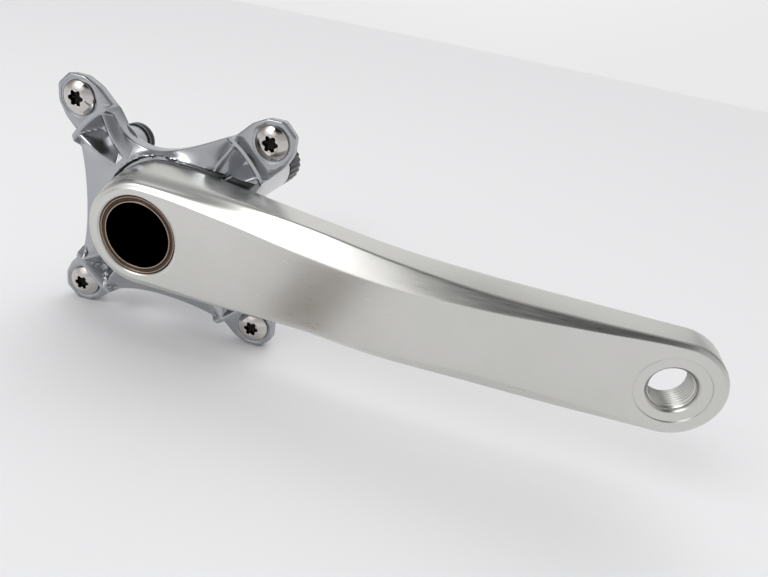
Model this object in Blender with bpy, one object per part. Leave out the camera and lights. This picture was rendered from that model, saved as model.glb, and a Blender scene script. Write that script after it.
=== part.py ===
"""Right-hand bicycle crankset: hollow crank arm, pressed spindle, four-arm spider and ring bolts.

Units are metres, +Z up. The origin is on the spindle axis at the bicycle's centre plane.
+X runs along the arm to the pedal, +Y inboard along the spindle, and -Y faces outboard.
"""

import math

import bmesh
import bpy
from mathutils import Matrix, Vector

MM = 0.001
GAP = 0.30 * MM  # clearance that touching pieces keep

# Crank arm
CRANK_LENGTH = 180.0 * MM  # spindle axis to pedal axis
FACE_Y = -78.5 * MM  # outboard face round the spindle
BOSS_END_Y = -49.5 * MM  # machined shoulder that meets the bearing cup
BOSS_R = 17.0 * MM  # boss that carries the spider
BORE_R = 14.16 * MM
PEDAL_BORE_R = 6.80 * MM  # pitch radius of the 9/16 inch thread
PEDAL_MOUTH_R = 7.95 * MM
PEDAL_SEAT_R = 11.1 * MM
PEDAL_SEAT_DEPTH = 0.45 * MM
CORE_WALL = 3.4 * MM  # wall left round the hollow core
CORE_SPAN = (6.0 * MM, 150.0 * MM)

# The arm's section at stations along X, in millimetres. Each row is
# (x, face y, face half-widths up and down, shoulder half-widths up and down,
#  shoulder depths up and down, rear half-width, depth of the rear edge).
ARM_SECTIONS = (
    (0, -78.5, 16.6, 16.6, 20.6, 20.6, 6.0, 6.0, 22.8, 17.5),
    (30, -79.9, 14.0, 17.2, 20.0, 20.6, 5.6, 5.6, 21.3, 16.0),
    (60, -83.0, 10.6, 15.8, 18.5, 18.8, 5.2, 4.4, 19.2, 14.0),
    (90, -85.7, 8.8, 15.2, 15.6, 18.2, 4.9, 2.4, 17.6, 12.2),
    (120, -86.9, 9.6, 13.0, 13.9, 17.0, 4.0, 1.6, 17.0, 11.4),
    (150, -87.4, 12.1, 13.1, 14.6, 16.6, 2.6, 1.5, 16.9, 10.6),
    (180, -87.5, 14.3, 14.3, 15.8, 15.8, 1.2, 1.2, 16.6, 10.2),
)
REAR_ROUND = 2.6 * MM  # radius of the arm's rear edges

# Spindle
SPINDLE_R = 12.0 * MM
SPINDLE_BORE_R = 9.8 * MM
DRIVE_END_R = BORE_R - GAP
DRIVE_BORE_R = 11.7 * MM
SPINDLE_SPAN = (-77.9 * MM, 60.0 * MM)
SPLINE_LENGTH = 17.0 * MM
SPLINE_TEETH = 24
SPLINE_DEPTH = 0.7 * MM

# Spider
TAB_RING_R = 52.0 * MM  # 104 mm bolt circle
INNER_RING_R = 32.0 * MM  # 64 mm bolt circle
ARM_ANGLES = (45.0, 135.0, 225.0, 315.0)
TAB_FRONT_Y = -56.2 * MM
TAB_BACK_Y = -52.0 * MM
SHOULDER_R = 44.0 * MM
RAIL_TOP_Y = -60.4 * MM  # front of the rails at the shoulder
HUB_FRONT_Y = -58.1 * MM
HUB_BACK_Y = -50.0 * MM
HUB_R = 24.5 * MM
HUB_BORE_R = BOSS_R + GAP
POCKET_FLOOR_Y = -56.9 * MM
INNER_BOSS_R = 5.8 * MM
INNER_BOSS_END_Y = -43.5 * MM

# Ring bolts, M8 x 0.75
SHANK_R = 3.70 * MM
THREAD_HOLE_R = SHANK_R + GAP
SLEEVE_R = 4.90 * MM
TAB_HOLE_R = SLEEVE_R + GAP
SPOT_FACE_R = 7.10 * MM  # sunk seats of the bolt's head and the nut's flange
SPOT_FACE_DEPTH = 0.30 * MM
HEAD_R = 6.15 * MM
HEAD_HEIGHT = 2.7 * MM
NUT_FLANGE_R = 6.9 * MM
NUT_FLANGE_DEPTH = 1.9 * MM
SLEEVE_LENGTH = 3.6 * MM
OUTER_SHANK_LENGTH = 6.4 * MM
INNER_HEAD_R = 6.3 * MM
INNER_HEAD_HEIGHT = 3.2 * MM
INNER_SHANK_LENGTH = 8.2 * MM
WASHER_DEPTH = 1.0 * MM
LOBE_R = (2.05 * MM, 2.80 * MM)  # six-lobe socket, valley and point radius
SOCKET_DEPTH = 2.0 * MM


def clear_scene():
    for obj in list(bpy.data.objects):
        bpy.data.objects.remove(obj, do_unlink=True)


def make_material(name, colour, roughness, metallic=1.0):
    material = bpy.data.materials.new(name)
    material.use_nodes = True
    shader = material.node_tree.nodes["Principled BSDF"]
    shader.inputs["Base Color"].default_value = (*colour, 1.0)
    shader.inputs["Roughness"].default_value = roughness
    shader.inputs["Metallic"].default_value = metallic
    return material


def finish_object(name, mesh_data, material=None):
    """Link a bmesh as an object, faces outward and rounded faces shaded smooth."""
    bmesh.ops.recalc_face_normals(mesh_data, faces=mesh_data.faces)
    mesh = bpy.data.meshes.new(name)
    mesh_data.to_mesh(mesh)
    mesh_data.free()
    if material:
        mesh.materials.append(material)
    mesh.shade_smooth()
    mesh.set_sharp_from_angle(angle=math.radians(35))
    obj = bpy.data.objects.new(name, mesh)
    bpy.context.scene.collection.objects.link(obj)
    return obj


def set_origin(obj, point):
    """Put an object's origin at a world point without moving its shape."""
    obj.data.transform(Matrix.Translation(-Vector(point)))
    obj.location = point


def turned_profile(profile, centre=(0.0, 0.0), segments=32, wave=None):
    """Solid turned about an axis along Y from a closed loop of (radius, y) points.

    A point at radius 0 closes the end. wave(index, angle) can scale a ring's radius.
    """
    work = bmesh.new()
    rings = []
    for index, (radius, y) in enumerate(profile):
        if radius == 0.0:
            rings.append([work.verts.new((centre[0], y, centre[1]))])
            continue
        ring = []
        for step in range(segments):
            angle = 2.0 * math.pi * step / segments
            r = radius * (wave(index, step) if wave else 1.0)
            point = (centre[0] + r * math.cos(angle), y, centre[1] + r * math.sin(angle))
            ring.append(work.verts.new(point))
        rings.append(ring)
    closed = profile[0][0] != 0.0
    pairs = list(zip(rings, rings[1:] + rings[:1])) if closed else list(zip(rings, rings[1:]))
    for first, second in pairs:
        for step in range(segments):
            after = (step + 1) % segments
            corners = [first[step % len(first)], first[after % len(first)]]
            corners += [second[after % len(second)], second[step % len(second)]]
            work.faces.new(list(dict.fromkeys(corners)))
    return work


def prism(outline, front_y, back_y):
    """Solid between two planes of constant y, from a closed outline of (x, z) points."""
    work = bmesh.new()
    front = [work.verts.new((x, front_y, z)) for x, z in outline]
    back = [work.verts.new((x, back_y, z)) for x, z in outline]
    work.faces.new(front)
    work.faces.new(back[::-1])
    for index in range(len(outline)):
        after = (index + 1) % len(outline)
        work.faces.new((front[after], front[index], back[index], back[after]))
    return work


def combine(target, work, operation):
    """Apply an exact Boolean of a bmesh solid to an object."""
    tool = finish_object("tool", work)
    modifier = target.modifiers.new("cut", "BOOLEAN")
    modifier.operation = operation
    modifier.solver = "EXACT"
    modifier.object = tool
    evaluated = target.evaluated_get(bpy.context.evaluated_depsgraph_get())
    mesh = bpy.data.meshes.new_from_object(evaluated)
    target.modifiers.clear()
    target.data = mesh
    bpy.data.objects.remove(tool, do_unlink=True)


def blend_rows(x, rows, column):
    """Smooth curve through one column of a table, level at both ends."""
    xs = [row[0] for row in rows]
    values = [row[column] for row in rows]
    slopes = [0.0] * len(xs)
    for i in range(1, len(xs) - 1):
        slopes[i] = (values[i + 1] - values[i - 1]) / (xs[i + 1] - xs[i - 1])
    x = min(max(x, xs[0]), xs[-1])
    i = min(max(sum(1 for value in xs if value <= x) - 1, 0), len(xs) - 2)
    span = xs[i + 1] - xs[i]
    t = (x - xs[i]) / span
    low = values[i] * (1 + 2 * t) * (1 - t) ** 2 + slopes[i] * span * t * (1 - t) ** 2
    high = values[i + 1] * t * t * (3 - 2 * t) + slopes[i + 1] * span * t * t * (t - 1)
    return low + high


def arm_rings(x_mm):
    """Outline levels of the arm at a station: (half-width up, half-width down, y), in metres."""
    face_y, up, down, s_up, s_down, d_up, d_down, rear, depth = (
        blend_rows(x_mm, ARM_SECTIONS, column) for column in range(1, 10)
    )
    middle_up = 0.5 * (up + s_up) + 0.5
    middle_down = 0.5 * (down + s_down) + 0.5
    round_mm = REAR_ROUND / MM
    levels = (
        (up, down, 0.0, 0.0),
        (middle_up, middle_down, 0.42 * d_up, 0.42 * d_down),
        (s_up, s_down, d_up, d_down),
        (rear, rear, depth, depth),
        (rear - 0.3 * round_mm, rear - 0.3 * round_mm, depth + 0.7 * round_mm, depth + 0.7 * round_mm),
        (rear - round_mm, rear - round_mm, depth + round_mm, depth + round_mm),
    )
    return [
        (a * MM, b * MM, (face_y + da) * MM, (face_y + db) * MM) for a, b, da, db in levels
    ]


def arm_body(stations=13, arc_steps=6):
    """Closed body of the arm: levels of its outline joined station by station."""
    columns = []
    for step in range(arc_steps, 0, -1):
        columns.append((0.0, -math.sin(math.pi / 2 * step / arc_steps), step == arc_steps))
    for step in range(stations):
        columns.append((CRANK_LENGTH * step / (stations - 1), 0.0, False))
    for step in range(1, arc_steps + 1):
        columns.append((CRANK_LENGTH, math.sin(math.pi / 2 * step / arc_steps), step == arc_steps))
    work = bmesh.new()
    grid = []
    for x, bulge, tip in columns:
        side = math.sqrt(max(0.0, 1.0 - bulge * bulge))
        column = []
        for up, down, y_up, y_down in arm_rings(x / MM):
            top = work.verts.new((x + bulge * up, y_up, side * up))
            bottom = top if tip else work.verts.new((x + bulge * down, y_down, -side * down))
            column.append((top, bottom))
        grid.append(column)
    for left, right in zip(grid, grid[1:]):
        strips = [(left[0][1], right[0][1], right[0][0], left[0][0]),
                  (left[-1][0], right[-1][0], right[-1][1], left[-1][1])]
        for level in range(len(left) - 1):
            for side in (0, 1):
                strips.append((left[level][side], right[level][side],
                               right[level + 1][side], left[level + 1][side]))
        for corners in strips:
            corners = list(dict.fromkeys(corners))
            if len(corners) > 2:
                work.faces.new(corners)
    return work


def core_body(stations=8):
    """Hollow core of the arm, an inset of its section that opens into the spindle bore."""
    work = bmesh.new()
    start, end = CORE_SPAN
    loops = []
    for step in range(stations):
        x = start + (end - start) * step / (stations - 1)
        rings = arm_rings(x / MM)
        face_y = rings[0][2] + CORE_WALL
        wide_y = rings[2][2] + 0.6 * CORE_WALL
        back_y = rings[-1][2] - CORE_WALL
        up, down = rings[0][0] - 0.3 * CORE_WALL, rings[0][1] - 1.0 * CORE_WALL
        wide_up, wide_down = rings[2][0] - CORE_WALL, rings[2][1] - CORE_WALL
        outline = ((up, face_y), (wide_up, wide_y), (wide_up, back_y),
                   (-wide_down, back_y), (-wide_down, wide_y), (-down, face_y))
        loops.append([work.verts.new((x, y, z)) for z, y in outline])
    work.faces.new(loops[0][::-1])
    work.faces.new(loops[-1])
    for first, second in zip(loops, loops[1:]):
        for index in range(len(first)):
            after = (index + 1) % len(first)
            work.faces.new((first[index], first[after], second[after], second[index]))
    return work


def make_crank_arm(material):
    arm = finish_object("crank_arm", arm_body(), material)
    boss_root_y = FACE_Y + 15.0 * MM
    boss = ((0.0, boss_root_y), (BOSS_R, boss_root_y), (BOSS_R, BOSS_END_Y - 1.0 * MM),
            (BOSS_R - 1.0 * MM, BOSS_END_Y), (0.0, BOSS_END_Y))
    combine(arm, turned_profile(boss, segments=40), "UNION")
    combine(arm, core_body(), "DIFFERENCE")
    bore_mouth = 0.6 * MM
    bore = ((0.0, FACE_Y - 5 * MM), (BORE_R + bore_mouth + 5 * MM, FACE_Y - 5 * MM),
            (BORE_R, FACE_Y + bore_mouth), (BORE_R, BOSS_END_Y + 5 * MM), (0.0, BOSS_END_Y + 5 * MM))
    combine(arm, turned_profile(bore, segments=40), "DIFFERENCE")
    pedal_y = ARM_SECTIONS[-1][1] * MM
    seat_y = pedal_y + PEDAL_SEAT_DEPTH
    chamfer = PEDAL_MOUTH_R - PEDAL_BORE_R
    hole = ((0.0, pedal_y - 5 * MM), (PEDAL_SEAT_R, pedal_y - 5 * MM), (PEDAL_SEAT_R, seat_y),
            (PEDAL_MOUTH_R, seat_y), (PEDAL_BORE_R, seat_y + chamfer),
            (PEDAL_BORE_R, pedal_y + 30 * MM), (0.0, pedal_y + 30 * MM))
    combine(arm, turned_profile(hole, (CRANK_LENGTH, 0.0), 32), "DIFFERENCE")
    return arm


def make_spindle(material):
    """Hollow spindle, wide where it is pressed into the arm and splined at its far end."""
    start, end = SPINDLE_SPAN
    spline_start = end - SPLINE_LENGTH
    edge = 0.8 * MM
    profile = (
        (DRIVE_BORE_R + 0.3 * MM, start), (DRIVE_END_R - 0.4 * MM, start), (DRIVE_END_R, start + 0.4 * MM),
        (DRIVE_END_R, BOSS_END_Y - 0.5 * MM), (SPINDLE_R, BOSS_END_Y + 1.4 * MM),
        (SPINDLE_R, spline_start - edge), (SPINDLE_R - SPLINE_DEPTH, spline_start),
        (SPINDLE_R, spline_start + edge), (SPINDLE_R, end - edge), (SPINDLE_R - edge, end),
        (SPINDLE_BORE_R + 0.6 * MM, end), (SPINDLE_BORE_R, end - 0.6 * MM),
        (SPINDLE_BORE_R, -50.0 * MM), (DRIVE_BORE_R, -56.0 * MM), (DRIVE_BORE_R, start + 0.3 * MM),
    )
    toothed = (7, 8)

    def tooth(index, step):
        return 1.0 - SPLINE_DEPTH / SPINDLE_R if index in toothed and step % 2 else 1.0

    work = turned_profile(profile, segments=2 * SPLINE_TEETH, wave=tooth)
    return finish_object("spindle", work, material)


def polar(radial, tangential, angle):
    """(x, z) of a point given along and across a spider arm."""
    c, s = math.cos(math.radians(angle)), math.sin(math.radians(angle))
    return (radial * c - tangential * s, radial * s + tangential * c)


def bezier(start, first, second, end, steps):
    """Points of a cubic curve, its end points left out."""
    points = []
    for step in range(1, steps):
        t = step / steps
        weights = ((1 - t) ** 3, 3 * t * (1 - t) ** 2, 3 * t * t * (1 - t), t ** 3)
        points.append(tuple(sum(w * p[axis] for w, p in zip(weights, (start, first, second, end)))
                            for axis in (0, 1)))
    return points


def spider_outline():
    """Outline of the spider: a chamfered tab on each arm and a curved web between arms."""
    tab = [(44.0, -9.3), (50.5, -9.2), (56.0, -7.4), (60.3, -3.2),
           (60.3, 3.2), (56.0, 7.4), (50.5, 9.2), (44.0, 9.3)]
    # Web between each arm and the next, as two curve handles in (x, z) millimetres.
    webs = {45.0: ((7.0, 29.0), (-14.0, 14.0)), 135.0: ((-33.0, 13.0), (-33.0, -14.0)),
            225.0: ((-12.0, -30.0), (12.0, -33.0)), 315.0: ((26.0, -12.0), (26.0, 12.0))}
    outline = []
    for angle in ARM_ANGLES:
        corners = [polar(r * MM, t * MM, angle) for r, t in tab]
        outline += corners
        start = corners[-1]
        end = polar(tab[0][0] * MM, tab[0][1] * MM, angle + 90.0)
        first, second = (tuple(v * MM for v in handle) for handle in webs[angle])
        outline += bezier(start, first, second, end, 8)
    return outline


def arm_block(angle):
    """Raised part of a spider arm, from the hub to the arc-shaped shoulder of its tab."""
    root_r, root_half, tip_half = 19.0 * MM, 8.6 * MM, 9.2 * MM
    half_angle = math.asin(tip_half / SHOULDER_R)
    arc = [half_angle * step / 3 for step in range(-3, 4)]
    tip = [(SHOULDER_R * math.cos(a), SHOULDER_R * math.sin(a)) for a in arc]
    local = [(root_r, root_half), (root_r, -root_half)] + tip
    work = bmesh.new()
    front, back = [], []
    for radial, tangential in local:
        x, z = polar(radial, tangential, angle)
        top = HUB_FRONT_Y if radial < 25 * MM else RAIL_TOP_Y
        front.append(work.verts.new((x, top, z)))
        back.append(work.verts.new((x, TAB_BACK_Y + 0.6 * MM, z)))
    front_tip = front[2:]
    work.faces.new((front[0], front[1], front_tip[0], front_tip[-1]))
    work.faces.new(front_tip)
    work.faces.new(back[::-1])
    for index in range(len(local)):
        after = (index + 1) % len(local)
        work.faces.new((front[after], front[index], back[index], back[after]))
    return work


def pocket(angle):
    """Wedge-shaped pocket between the two rails of a spider arm, open to the front."""
    outline = [(27.0, -1.4), (41.4, -6.4), (42.0, 0.0), (41.4, 6.4), (27.0, 1.4)]
    points = [polar(r * MM, t * MM, angle) for r, t in outline]
    return prism(points, RAIL_TOP_Y - 5 * MM, POCKET_FLOOR_Y)


def make_spider(material):
    spider = finish_object("spider", prism(spider_outline(), TAB_FRONT_Y, TAB_BACK_Y), material)
    hub = ((0.0, HUB_FRONT_Y), (HUB_R - 1.5 * MM, HUB_FRONT_Y), (HUB_R, HUB_FRONT_Y + 1.2 * MM),
           (HUB_R, HUB_BACK_Y - 1.5 * MM), (HUB_R - 2.0 * MM, HUB_BACK_Y), (0.0, HUB_BACK_Y))
    combine(spider, turned_profile(hub, segments=40), "UNION")
    for angle in ARM_ANGLES:
        combine(spider, arm_block(angle), "UNION")
        combine(spider, pocket(angle), "DIFFERENCE")
        centre = polar(INNER_RING_R, 0.0, angle)
        boss = ((0.0, TAB_BACK_Y - 2 * MM), (INNER_BOSS_R + 0.8 * MM, TAB_BACK_Y - 2 * MM),
                (INNER_BOSS_R + 0.8 * MM, TAB_BACK_Y + 1.5 * MM), (INNER_BOSS_R, INNER_BOSS_END_Y),
                (0.0, INNER_BOSS_END_Y))
        combine(spider, turned_profile(boss, centre, 24), "UNION")
    depth_y = INNER_BOSS_END_Y - 10.5 * MM
    for angle in ARM_ANGLES:
        blind = ((0.0, depth_y), (THREAD_HOLE_R, depth_y + 1.0 * MM),
                 (THREAD_HOLE_R, INNER_BOSS_END_Y + 3 * MM), (0.0, INNER_BOSS_END_Y + 3 * MM))
        combine(spider, turned_profile(blind, polar(INNER_RING_R, 0.0, angle), 24), "DIFFERENCE")
        front_seat, back_seat = TAB_FRONT_Y + SPOT_FACE_DEPTH, TAB_BACK_Y - SPOT_FACE_DEPTH
        through = ((0.0, TAB_FRONT_Y - 5 * MM), (SPOT_FACE_R, TAB_FRONT_Y - 5 * MM),
                   (SPOT_FACE_R, front_seat), (TAB_HOLE_R, front_seat), (TAB_HOLE_R, back_seat),
                   (SPOT_FACE_R, back_seat), (SPOT_FACE_R, TAB_BACK_Y + 5 * MM), (0.0, TAB_BACK_Y + 5 * MM))
        combine(spider, turned_profile(through, polar(TAB_RING_R, 0.0, angle), 24), "DIFFERENCE")
    bore = ((0.0, HUB_FRONT_Y - 5 * MM), (HUB_BORE_R, HUB_FRONT_Y - 5 * MM),
            (HUB_BORE_R, HUB_BACK_Y + 5 * MM), (0.0, HUB_BACK_Y + 5 * MM))
    combine(spider, turned_profile(bore, segments=40), "DIFFERENCE")
    return spider


def socket_cutter(centre, mouth_y, direction):
    """Six-lobe socket cut from a bolt head's front."""
    low, high = LOBE_R
    outline = []
    for step in range(24):
        angle = 2.0 * math.pi * step / 24
        radius = 0.5 * (low + high) + 0.5 * (high - low) * math.cos(6.0 * angle)
        outline.append((centre[0] + radius * math.cos(angle), centre[1] + radius * math.sin(angle)))
    ends = sorted((mouth_y - direction * 4 * MM, mouth_y + direction * SOCKET_DEPTH))
    return prism(outline, ends[0], ends[1])


def make_outer_bolt(name, centre, material):
    """Domed bolt that holds the outer ring: head outboard, shank inboard."""
    seat = TAB_FRONT_Y + SPOT_FACE_DEPTH - GAP
    end = seat + OUTER_SHANK_LENGTH
    profile = (
        (0.0, seat - HEAD_HEIGHT), (0.45 * HEAD_R, seat - 0.96 * HEAD_HEIGHT),
        (0.78 * HEAD_R, seat - 0.70 * HEAD_HEIGHT), (0.97 * HEAD_R, seat - 0.30 * HEAD_HEIGHT),
        (HEAD_R, seat - 0.12 * HEAD_HEIGHT), (HEAD_R, seat), (SHANK_R, seat),
        (SHANK_R, end - 0.6 * MM), (SHANK_R - 0.6 * MM, end), (0.0, end),
    )
    bolt = finish_object(name, turned_profile(profile, centre, 24), material)
    combine(bolt, socket_cutter(centre, seat - HEAD_HEIGHT, 1.0), "DIFFERENCE")
    set_origin(bolt, (centre[0], seat, centre[1]))
    return bolt


def make_outer_nut(name, centre, material):
    """Sleeve nut in the tab's hole, with a slotted flange behind the tab."""
    seat = TAB_BACK_Y - SPOT_FACE_DEPTH + GAP
    back = seat + NUT_FLANGE_DEPTH
    profile = (
        (THREAD_HOLE_R, seat - SLEEVE_LENGTH), (SLEEVE_R, seat - SLEEVE_LENGTH), (SLEEVE_R, seat),
        (NUT_FLANGE_R, seat), (NUT_FLANGE_R, back - 0.7 * MM), (NUT_FLANGE_R - 0.7 * MM, back),
        (THREAD_HOLE_R, back),
    )
    nut = finish_object(name, turned_profile(profile, centre, 24), material)
    half, reach, floor = 1.0 * MM, NUT_FLANGE_R + 2 * MM, back - 0.8 * MM
    slot = [(centre[0] + a * reach, centre[1] + b * half) for a, b in ((-1, -1), (1, -1), (1, 1), (-1, 1))]
    combine(nut, prism(slot, floor, back + 2 * MM), "DIFFERENCE")
    set_origin(nut, (centre[0], seat, centre[1]))
    return nut


def make_inner_washer(name, centre, material):
    seat = INNER_BOSS_END_Y + GAP
    back = seat + WASHER_DEPTH
    profile = ((THREAD_HOLE_R + 0.1 * MM, seat), (INNER_HEAD_R, seat),
               (INNER_HEAD_R, back), (THREAD_HOLE_R + 0.1 * MM, back))
    washer = finish_object(name, turned_profile(profile, centre, 24), material)
    set_origin(washer, (centre[0], seat, centre[1]))
    return washer


def make_inner_bolt(name, centre, material):
    """Bolt that holds the inner ring: head inboard, shank in the spider's boss."""
    seat = INNER_BOSS_END_Y + WASHER_DEPTH + 2 * GAP
    top = seat + INNER_HEAD_HEIGHT
    end = seat - INNER_SHANK_LENGTH
    profile = (
        (0.0, end), (SHANK_R - 0.6 * MM, end), (SHANK_R, end + 0.6 * MM), (SHANK_R, seat),
        (INNER_HEAD_R, seat), (INNER_HEAD_R, top - 1.3 * MM), (INNER_HEAD_R - 1.3 * MM, top), (0.0, top),
    )
    bolt = finish_object(name, turned_profile(profile, centre, 24), material)
    combine(bolt, socket_cutter(centre, top, -1.0), "DIFFERENCE")
    set_origin(bolt, (centre[0], seat, centre[1]))
    return bolt


def main():
    clear_scene()
    satin = make_material("satin_aluminium", (0.60, 0.60, 0.57), 0.32)
    forged = make_material("forged_aluminium", (0.50, 0.54, 0.60), 0.34)
    steel = make_material("spindle_steel", (0.30, 0.27, 0.24), 0.38)
    chrome = make_material("chrome", (0.78, 0.78, 0.78), 0.10)
    black = make_material("black_steel", (0.03, 0.03, 0.035), 0.42)
    make_crank_arm(satin)
    make_spindle(steel)
    make_spider(forged)
    for number, angle in enumerate(ARM_ANGLES, start=1):
        outer = polar(TAB_RING_R, 0.0, angle)
        inner = polar(INNER_RING_R, 0.0, angle)
        make_outer_bolt(f"outer_bolt_{number}", outer, chrome)
        make_outer_nut(f"outer_nut_{number}", outer, black)
        make_inner_washer(f"inner_washer_{number}", inner, black)
        make_inner_bolt(f"inner_bolt_{number}", inner, black)


main()
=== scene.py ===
"""Looks of the right-hand bicycle crankset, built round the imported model.

Shapes are worked out in millimetres in the row's frame and scaled to metres when a piece is made.
+X runs along the arm to the pedal, -Y faces outboard and +Z is up.
"""

import math

import bmesh
import bpy
import numpy as np
from mathutils import Euler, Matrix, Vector


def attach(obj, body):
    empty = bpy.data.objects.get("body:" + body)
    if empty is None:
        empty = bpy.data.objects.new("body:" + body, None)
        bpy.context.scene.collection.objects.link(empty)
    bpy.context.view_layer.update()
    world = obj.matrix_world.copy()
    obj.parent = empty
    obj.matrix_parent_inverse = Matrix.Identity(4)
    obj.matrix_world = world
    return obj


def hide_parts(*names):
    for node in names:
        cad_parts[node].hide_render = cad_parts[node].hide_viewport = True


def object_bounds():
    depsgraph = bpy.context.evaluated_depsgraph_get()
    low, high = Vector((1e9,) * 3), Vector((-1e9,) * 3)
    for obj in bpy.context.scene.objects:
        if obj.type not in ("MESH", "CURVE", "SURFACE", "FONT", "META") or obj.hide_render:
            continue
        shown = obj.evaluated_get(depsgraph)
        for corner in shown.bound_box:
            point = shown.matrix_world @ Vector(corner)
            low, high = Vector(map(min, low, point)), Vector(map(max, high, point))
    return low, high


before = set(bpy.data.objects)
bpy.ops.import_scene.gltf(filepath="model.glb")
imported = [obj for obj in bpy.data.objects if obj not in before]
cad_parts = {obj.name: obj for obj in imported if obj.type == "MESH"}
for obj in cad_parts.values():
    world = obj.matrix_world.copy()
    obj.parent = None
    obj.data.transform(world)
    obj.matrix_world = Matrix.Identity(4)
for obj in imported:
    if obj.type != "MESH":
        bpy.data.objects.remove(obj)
CAD_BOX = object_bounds()
MM = 0.001

# ---------------------------------------------------------------- dimensions, in millimetres

CRANK_LENGTH = 180.0
BOSS_END_Y = -49.5
BOSS_R = 17.0
BORE_R = 14.16
SEAT_R = 11.1
SEAT_DEPTH = 0.45
MOUTH_R = 7.95
PEDAL_MINOR_R, PEDAL_MAJOR_R, PEDAL_PITCH = 6.45, 7.14, 1.27

# The arm's section along X: (x, face y, face half-widths up and down, shoulder half-widths up
# and down, shoulder depths up and down, rear half-width, depth of the rear edge).
ARM_SECTIONS = (
    (0, -78.5, 16.6, 16.6, 20.6, 20.6, 6.0, 6.0, 22.8, 17.5),
    (30, -79.9, 14.0, 17.2, 20.0, 20.6, 5.6, 5.6, 21.3, 16.0),
    (60, -83.0, 10.6, 15.8, 18.5, 18.8, 5.2, 4.4, 19.2, 14.0),
    (90, -85.7, 8.8, 15.2, 15.6, 18.2, 4.9, 2.4, 17.6, 12.2),
    (120, -86.9, 9.6, 13.0, 13.9, 17.0, 4.0, 1.6, 17.0, 11.4),
    (150, -87.4, 12.1, 13.1, 14.6, 16.6, 2.6, 1.5, 16.9, 10.6),
    (180, -87.5, 14.3, 14.3, 15.8, 15.8, 1.2, 1.2, 16.6, 10.2),
)
REAR_ROUND = 2.6

SPINDLE_R, SPINDLE_BORE_R = 12.0, 9.8
DRIVE_END_R, DRIVE_BORE_R = 13.86, 11.7
SPINDLE_START, SPINDLE_END = -77.9, 60.0
SPLINE_LENGTH, SPLINE_TEETH, SPLINE_DEPTH = 17.0, 24, 0.7

ARM_ANGLES = (45.0, 135.0, 225.0, 315.0)
TAB_RING_R, INNER_RING_R = 52.0, 32.0
TAB_FRONT_Y, TAB_BACK_Y = -56.2, -52.0
SHOULDER_R = 44.0
TAB_HALF = 9.3
HUB_BORE_R, HUB_R = 17.3, 24.5
TAB_HOLE_R = 5.2
SPOT_R, SPOT_DEPTH, SEAT_GAP = 7.1, 0.3, 0.01
SHANK_R, THREAD_PITCH, THREAD_DEPTH = 3.70, 0.75, 0.40

# Patches of the room's light: direction, inner and outer half-angles in degrees, and brightness.
WORLD_PATCHES = (
    ((-0.40, -0.62, 0.68), 10.0, 34.0, 1.35),
    ((0.09, -0.47, 0.87), 13.0, 28.0, 0.02),
    ((-0.10, 0.80, 0.55), 10.0, 40.0, 0.95),
    ((0.75, 0.35, 0.50), 8.0, 36.0, 0.30),
    ((-0.80, 0.10, 0.45), 8.0, 30.0, 0.30),
)

# ---------------------------------------------------------------- mesh helpers


def smoothstep(t):
    t = np.clip(t, 0.0, 1.0)
    return t * t * (3.0 - 2.0 * t)


def column_value(x, column):
    """Smooth curve through one column of ARM_SECTIONS, level at both ends."""
    xs = [row[0] for row in ARM_SECTIONS]
    values = [row[column] for row in ARM_SECTIONS]
    slopes = [0.0] * len(xs)
    for i in range(1, len(xs) - 1):
        slopes[i] = (values[i + 1] - values[i - 1]) / (xs[i + 1] - xs[i - 1])
    x = min(max(x, xs[0]), xs[-1])
    i = min(max(sum(1 for value in xs if value <= x) - 1, 0), len(xs) - 2)
    span = xs[i + 1] - xs[i]
    t = (x - xs[i]) / span
    low = values[i] * (1 + 2 * t) * (1 - t) ** 2 + slopes[i] * span * t * (1 - t) ** 2
    high = values[i + 1] * t * t * (3 - 2 * t) + slopes[i + 1] * span * t * t * (t - 1)
    return low + high


class Shell:
    """A surface put together from patches, whose shared points are welded as they are added."""

    def __init__(self):
        self.points, self.index, self.faces = [], {}, []

    def add(self, point):
        key = tuple(round(float(c) * 1e5) for c in point)
        if key not in self.index:
            self.index[key] = len(self.points)
            self.points.append(tuple(float(c) for c in point))
        return self.index[key]

    def face(self, corners):
        ids = list(dict.fromkeys(self.add(corner) for corner in corners))
        if len(ids) > 2:
            self.faces.append(ids)

    def loft(self, loops, closed=True):
        """Quads between successive loops of equal length."""
        for first, second in zip(loops, loops[1:]):
            count = len(first)
            for i in range(count if closed else count - 1):
                j = (i + 1) % count
                self.face((first[i], first[j], second[j], second[i]))

    def build(self, name, sharp_angle=None):
        mesh = bpy.data.meshes.new(name)
        mesh.from_pydata([tuple(c * MM for c in p) for p in self.points], [], self.faces)
        work = bmesh.new()
        work.from_mesh(mesh)
        bmesh.ops.recalc_face_normals(work, faces=work.faces)
        work.to_mesh(mesh)
        work.free()
        mesh.shade_smooth()
        if sharp_angle:
            mesh.set_sharp_from_angle(angle=math.radians(sharp_angle))
        obj = bpy.data.objects.new(name, mesh)
        bpy.context.scene.collection.objects.link(obj)
        return obj


def circle_at(centre, radius, y, angles):
    return [(centre[0] + radius * math.cos(a), y, centre[1] + radius * math.sin(a)) for a in angles]


def round_corner(before, corner, after, cut, steps):
    """Points of a curve that rounds a corner of a polyline, cut back by a length on each side."""
    before, corner, after = (np.array(p, float) for p in (before, corner, after))
    to_before, to_after = before - corner, after - corner
    cut_in = min(cut, 0.48 * np.linalg.norm(to_before))
    cut_out = min(cut, 0.48 * np.linalg.norm(to_after))
    start = corner + to_before / np.linalg.norm(to_before) * cut_in
    end = corner + to_after / np.linalg.norm(to_after) * cut_out
    ts = [i / (steps - 1) for i in range(steps)]
    return [tuple((1 - t) ** 2 * start + 2 * t * (1 - t) * corner + t * t * end) for t in ts]


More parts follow.
